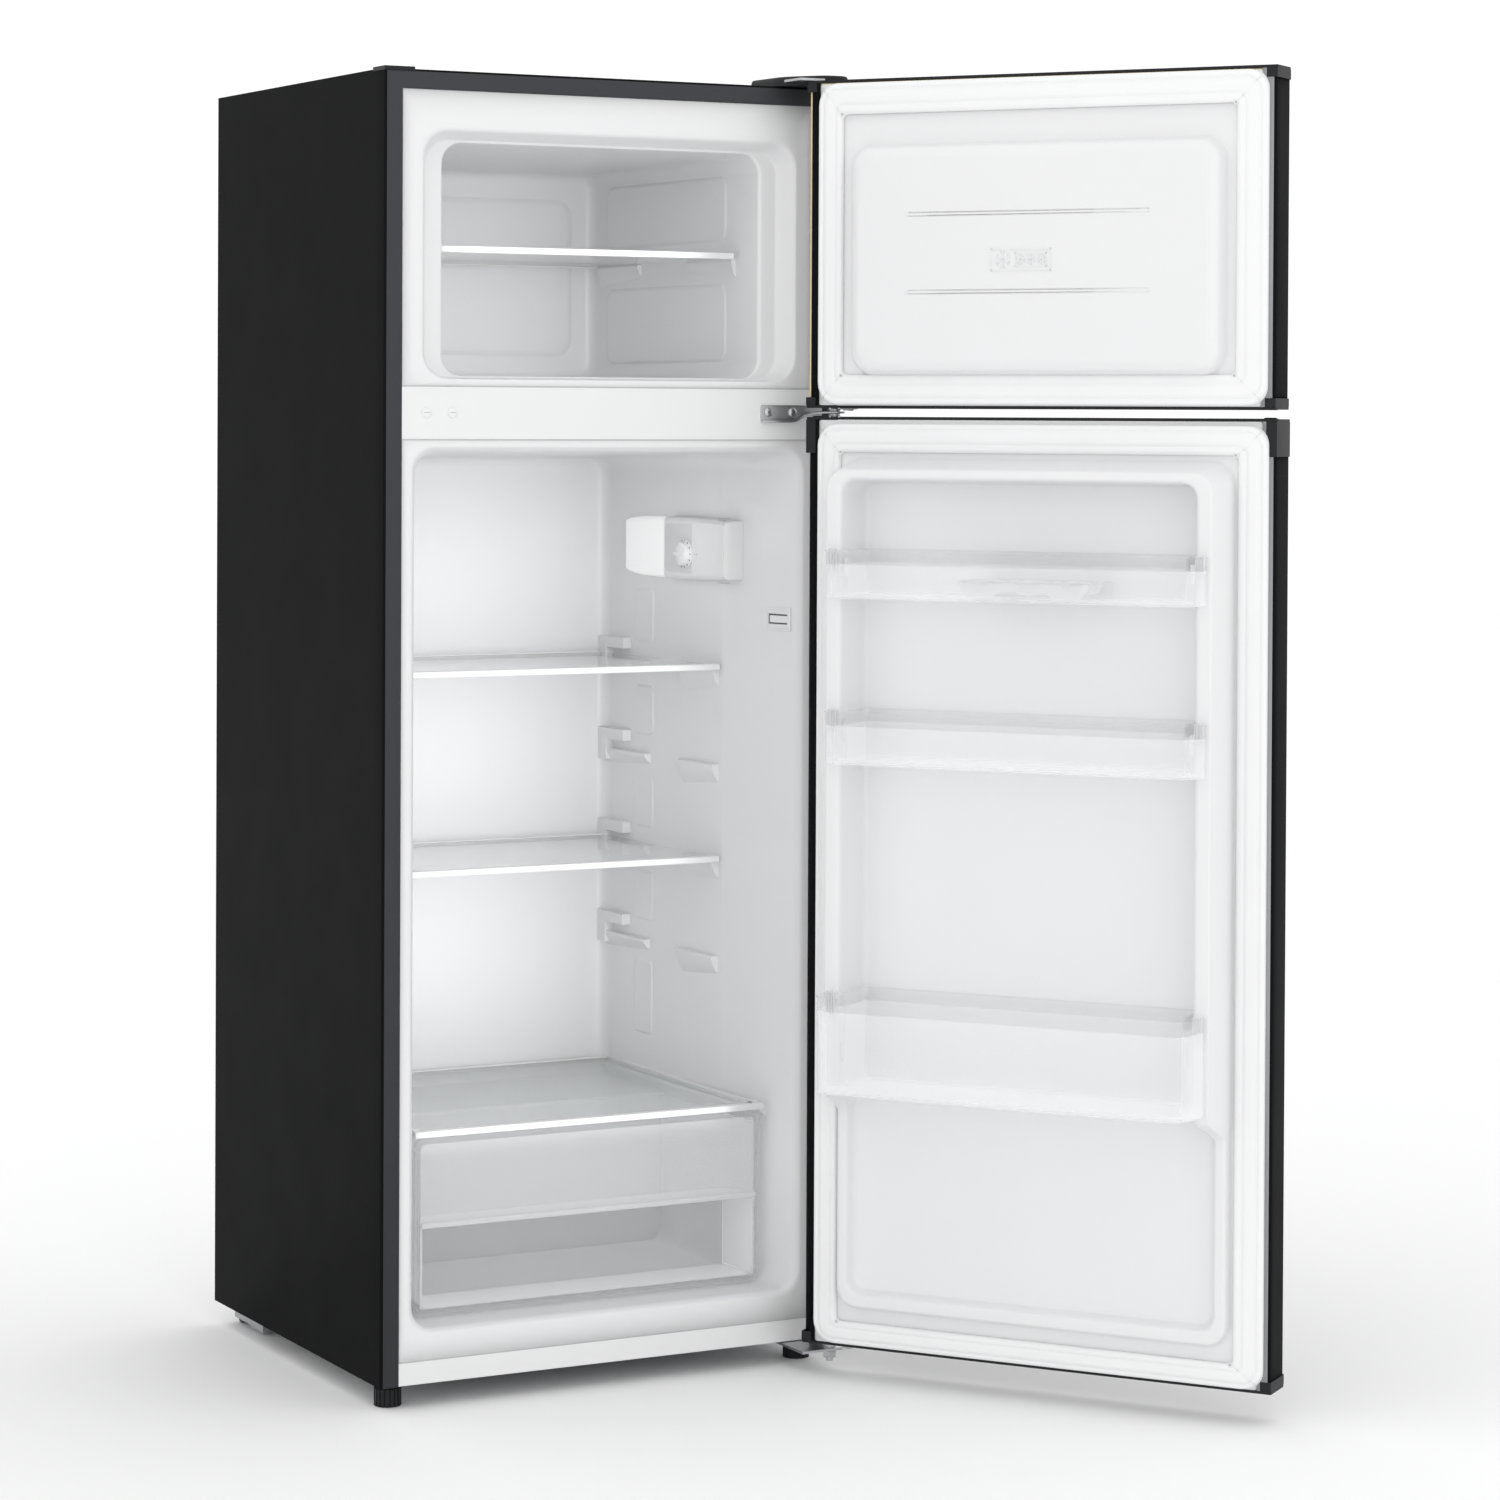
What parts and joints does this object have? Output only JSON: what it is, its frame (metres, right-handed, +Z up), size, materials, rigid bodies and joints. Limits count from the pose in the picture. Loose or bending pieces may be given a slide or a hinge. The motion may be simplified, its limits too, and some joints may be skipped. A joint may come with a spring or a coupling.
{
  "type": "top freezer refrigerator",
  "caption": "Tall two-door refrigerator, freezer above, with glass shelves, clear door bins, a vegetable drawer, a control box and levelling feet.",
  "frame": {"origin": "middle of the box round the refrigerator as it stands with both doors open, on the floor", "axes": "+Z up, +Y towards the wall behind the cabinet, +X towards the hinge side"},
  "size_m": [0.8518, 0.9984, 1.45],
  "materials": {
    "charcoal_steel": "satin",
    "galvanised_steel": "matte",
    "black_steel": "satin",
    "zinc_steel": "satin",
    "copper_tube": "satin",
    "aluminium_plate": "satin",
    "white_plastic": "satin",
    "white_liner": "satin",
    "white_gasket": "matte",
    "black_plastic": "satin",
    "grey_plastic": "satin",
    "clear_plastic": "gloss",
    "shelf_glass": "gloss",
    "lamp_lens": "satin",
    "insulation_foam": "matte"
  },
  "bodies": {
    "root": {"outer_case": "charcoal_steel", "rear_panel": "galvanised_steel", "base_panel": "galvanised_steel", "mullion_cover": "white_plastic", "kick_strip": "white_plastic", "corner_cap": "black_plastic", "freezer_liner": "white_liner", "fridge_liner": "white_liner", "cabinet_insulation": "insulation_foam", "condenser_coil": "copper_tube", "evaporator": "aluminium_plate", "compressor": "black_steel", "compressor_tray": "galvanised_steel", "drip_tray": "black_plastic", "cord_gland": "black_plastic", "top_hinge": "zinc_steel", "top_hinge_cover": "black_plastic", "middle_hinge": "zinc_steel", "middle_hinge_screw_1": "zinc_steel", "middle_hinge_screw_2": "zinc_steel", "hinge_hole_plug_1": "white_plastic", "hinge_hole_plug_2": "white_plastic", "bottom_hinge": "zinc_steel", "crisper_cover_glass": "shelf_glass", "crisper_cover_trim": "white_plastic", "control_housing": "white_plastic", "lamp_cover": "lamp_lens", "lamp": "lamp_lens", "thermostat": "black_plastic", "light_switch_frame": "white_plastic"},
    "freezer_door": {"freezer_door_skin": "charcoal_steel", "freezer_door_liner": "white_liner", "freezer_door_insulation": "insulation_foam", "freezer_door_top_cap": "black_plastic", "freezer_door_bottom_cap": "black_plastic", "freezer_door_gasket": "white_gasket"},
    "fridge_door": {"fridge_door_skin": "charcoal_steel", "fridge_door_liner": "white_liner", "fridge_door_insulation": "insulation_foam", "fridge_door_top_cap": "black_plastic", "fridge_door_bottom_cap": "black_plastic", "fridge_door_gasket": "white_gasket", "fridge_door_stop": "grey_plastic"},
    "upper_bin": {"upper_bin": "clear_plastic"},
    "middle_bin": {"middle_bin": "clear_plastic"},
    "bottle_bin": {"bottle_bin": "clear_plastic"},
    "egg_tray": {"egg_tray": "clear_plastic"},
    "freezer_shelf": {"freezer_shelf_glass": "shelf_glass", "freezer_shelf_trim": "white_plastic"},
    "upper_shelf": {"upper_shelf_glass": "shelf_glass", "upper_shelf_trim": "white_plastic"},
    "lower_shelf": {"lower_shelf_glass": "shelf_glass", "lower_shelf_trim": "white_plastic"},
    "crisper_drawer": {"crisper_drawer": "clear_plastic"},
    "thermostat_knob": {"thermostat_knob": "white_plastic"},
    "light_switch": {"light_switch": "white_plastic"},
    "front_foot_left": {"front_foot_left": "black_plastic"},
    "front_foot_right": {"front_foot_right": "black_plastic"},
    "rear_roller_left": {"rear_roller_left": "black_plastic"},
    "rear_roller_right": {"rear_roller_right": "black_plastic"}
  },
  "joints": [
    {"name": "freezer_door_hinge", "type": "hinge", "parent": "root", "child": "freezer_door", "pos_m": [0.10358, -0.04077, 1.261], "axis": [0, 0, 1], "range_deg": [-125.5, 9]},
    {"name": "fridge_door_hinge", "type": "hinge", "parent": "root", "child": "fridge_door", "pos_m": [0.10358, -0.04077, 0.552], "axis": [0, 0, 1], "range_deg": [-126, 9]},
    {"name": "upper_bin_lift", "type": "slide", "parent": "fridge_door", "child": "upper_bin", "axis": [0, 0, 1], "range_m": [0, 0.03]},
    {"name": "middle_bin_lift", "type": "slide", "parent": "fridge_door", "child": "middle_bin", "axis": [0, 0, 1], "range_m": [0, 0.03]},
    {"name": "bottle_bin_lift", "type": "slide", "parent": "fridge_door", "child": "bottle_bin", "axis": [0, 0, 1], "range_m": [0, 0.03]},
    {"name": "egg_tray_lift", "type": "slide", "parent": "upper_bin", "child": "egg_tray", "axis": [0, 0, 1], "range_m": [0, 0.06]},
    {"name": "freezer_shelf_slide", "type": "slide", "parent": "root", "child": "freezer_shelf", "axis": [0, -1, 0], "range_m": [0, 0.18]},
    {"name": "upper_shelf_slide", "type": "slide", "parent": "root", "child": "upper_shelf", "axis": [0, -1, 0], "range_m": [0, 0.18]},
    {"name": "lower_shelf_slide", "type": "slide", "parent": "root", "child": "lower_shelf", "axis": [0, -1, 0], "range_m": [0, 0.18]},
    {"name": "crisper_slide", "type": "slide", "parent": "root", "child": "crisper_drawer", "axis": [0, -1, 0], "range_m": [0, 0.16]},
    {"name": "thermostat_turn", "type": "hinge", "parent": "root", "child": "thermostat_knob", "pos_m": [0.04208, 0.19923, 0.909], "axis": [-1, 0, 0], "range_deg": [0, 270]},
    {"name": "light_switch_press", "type": "slide", "parent": "root", "child": "light_switch", "axis": [1, 0, 0], "range_m": [0, 0.0015], "stiffness_N_per_m": 400},
    {"name": "front_foot_left_turn", "type": "hinge", "parent": "root", "child": "front_foot_left", "pos_m": [-0.40372, 0.03123, 0.01], "axis": [0, 0, 1], "range_deg": [-720, 720]},
    {"name": "front_foot_right_turn", "type": "hinge", "parent": "root", "child": "front_foot_right", "pos_m": [0.09988, 0.03123, 0.01], "axis": [0, 0, 1], "range_deg": [-720, 720]},
    {"name": "rear_roller_left_spin", "type": "hinge", "parent": "root", "child": "rear_roller_left", "pos_m": [-0.39192, 0.47723, 0.0095], "axis": [1, 0, 0], "continuous": true},
    {"name": "rear_roller_right_spin", "type": "hinge", "parent": "root", "child": "rear_roller_right", "pos_m": [0.08808, 0.47723, 0.0095], "axis": [1, 0, 0], "continuous": true}
  ]
}
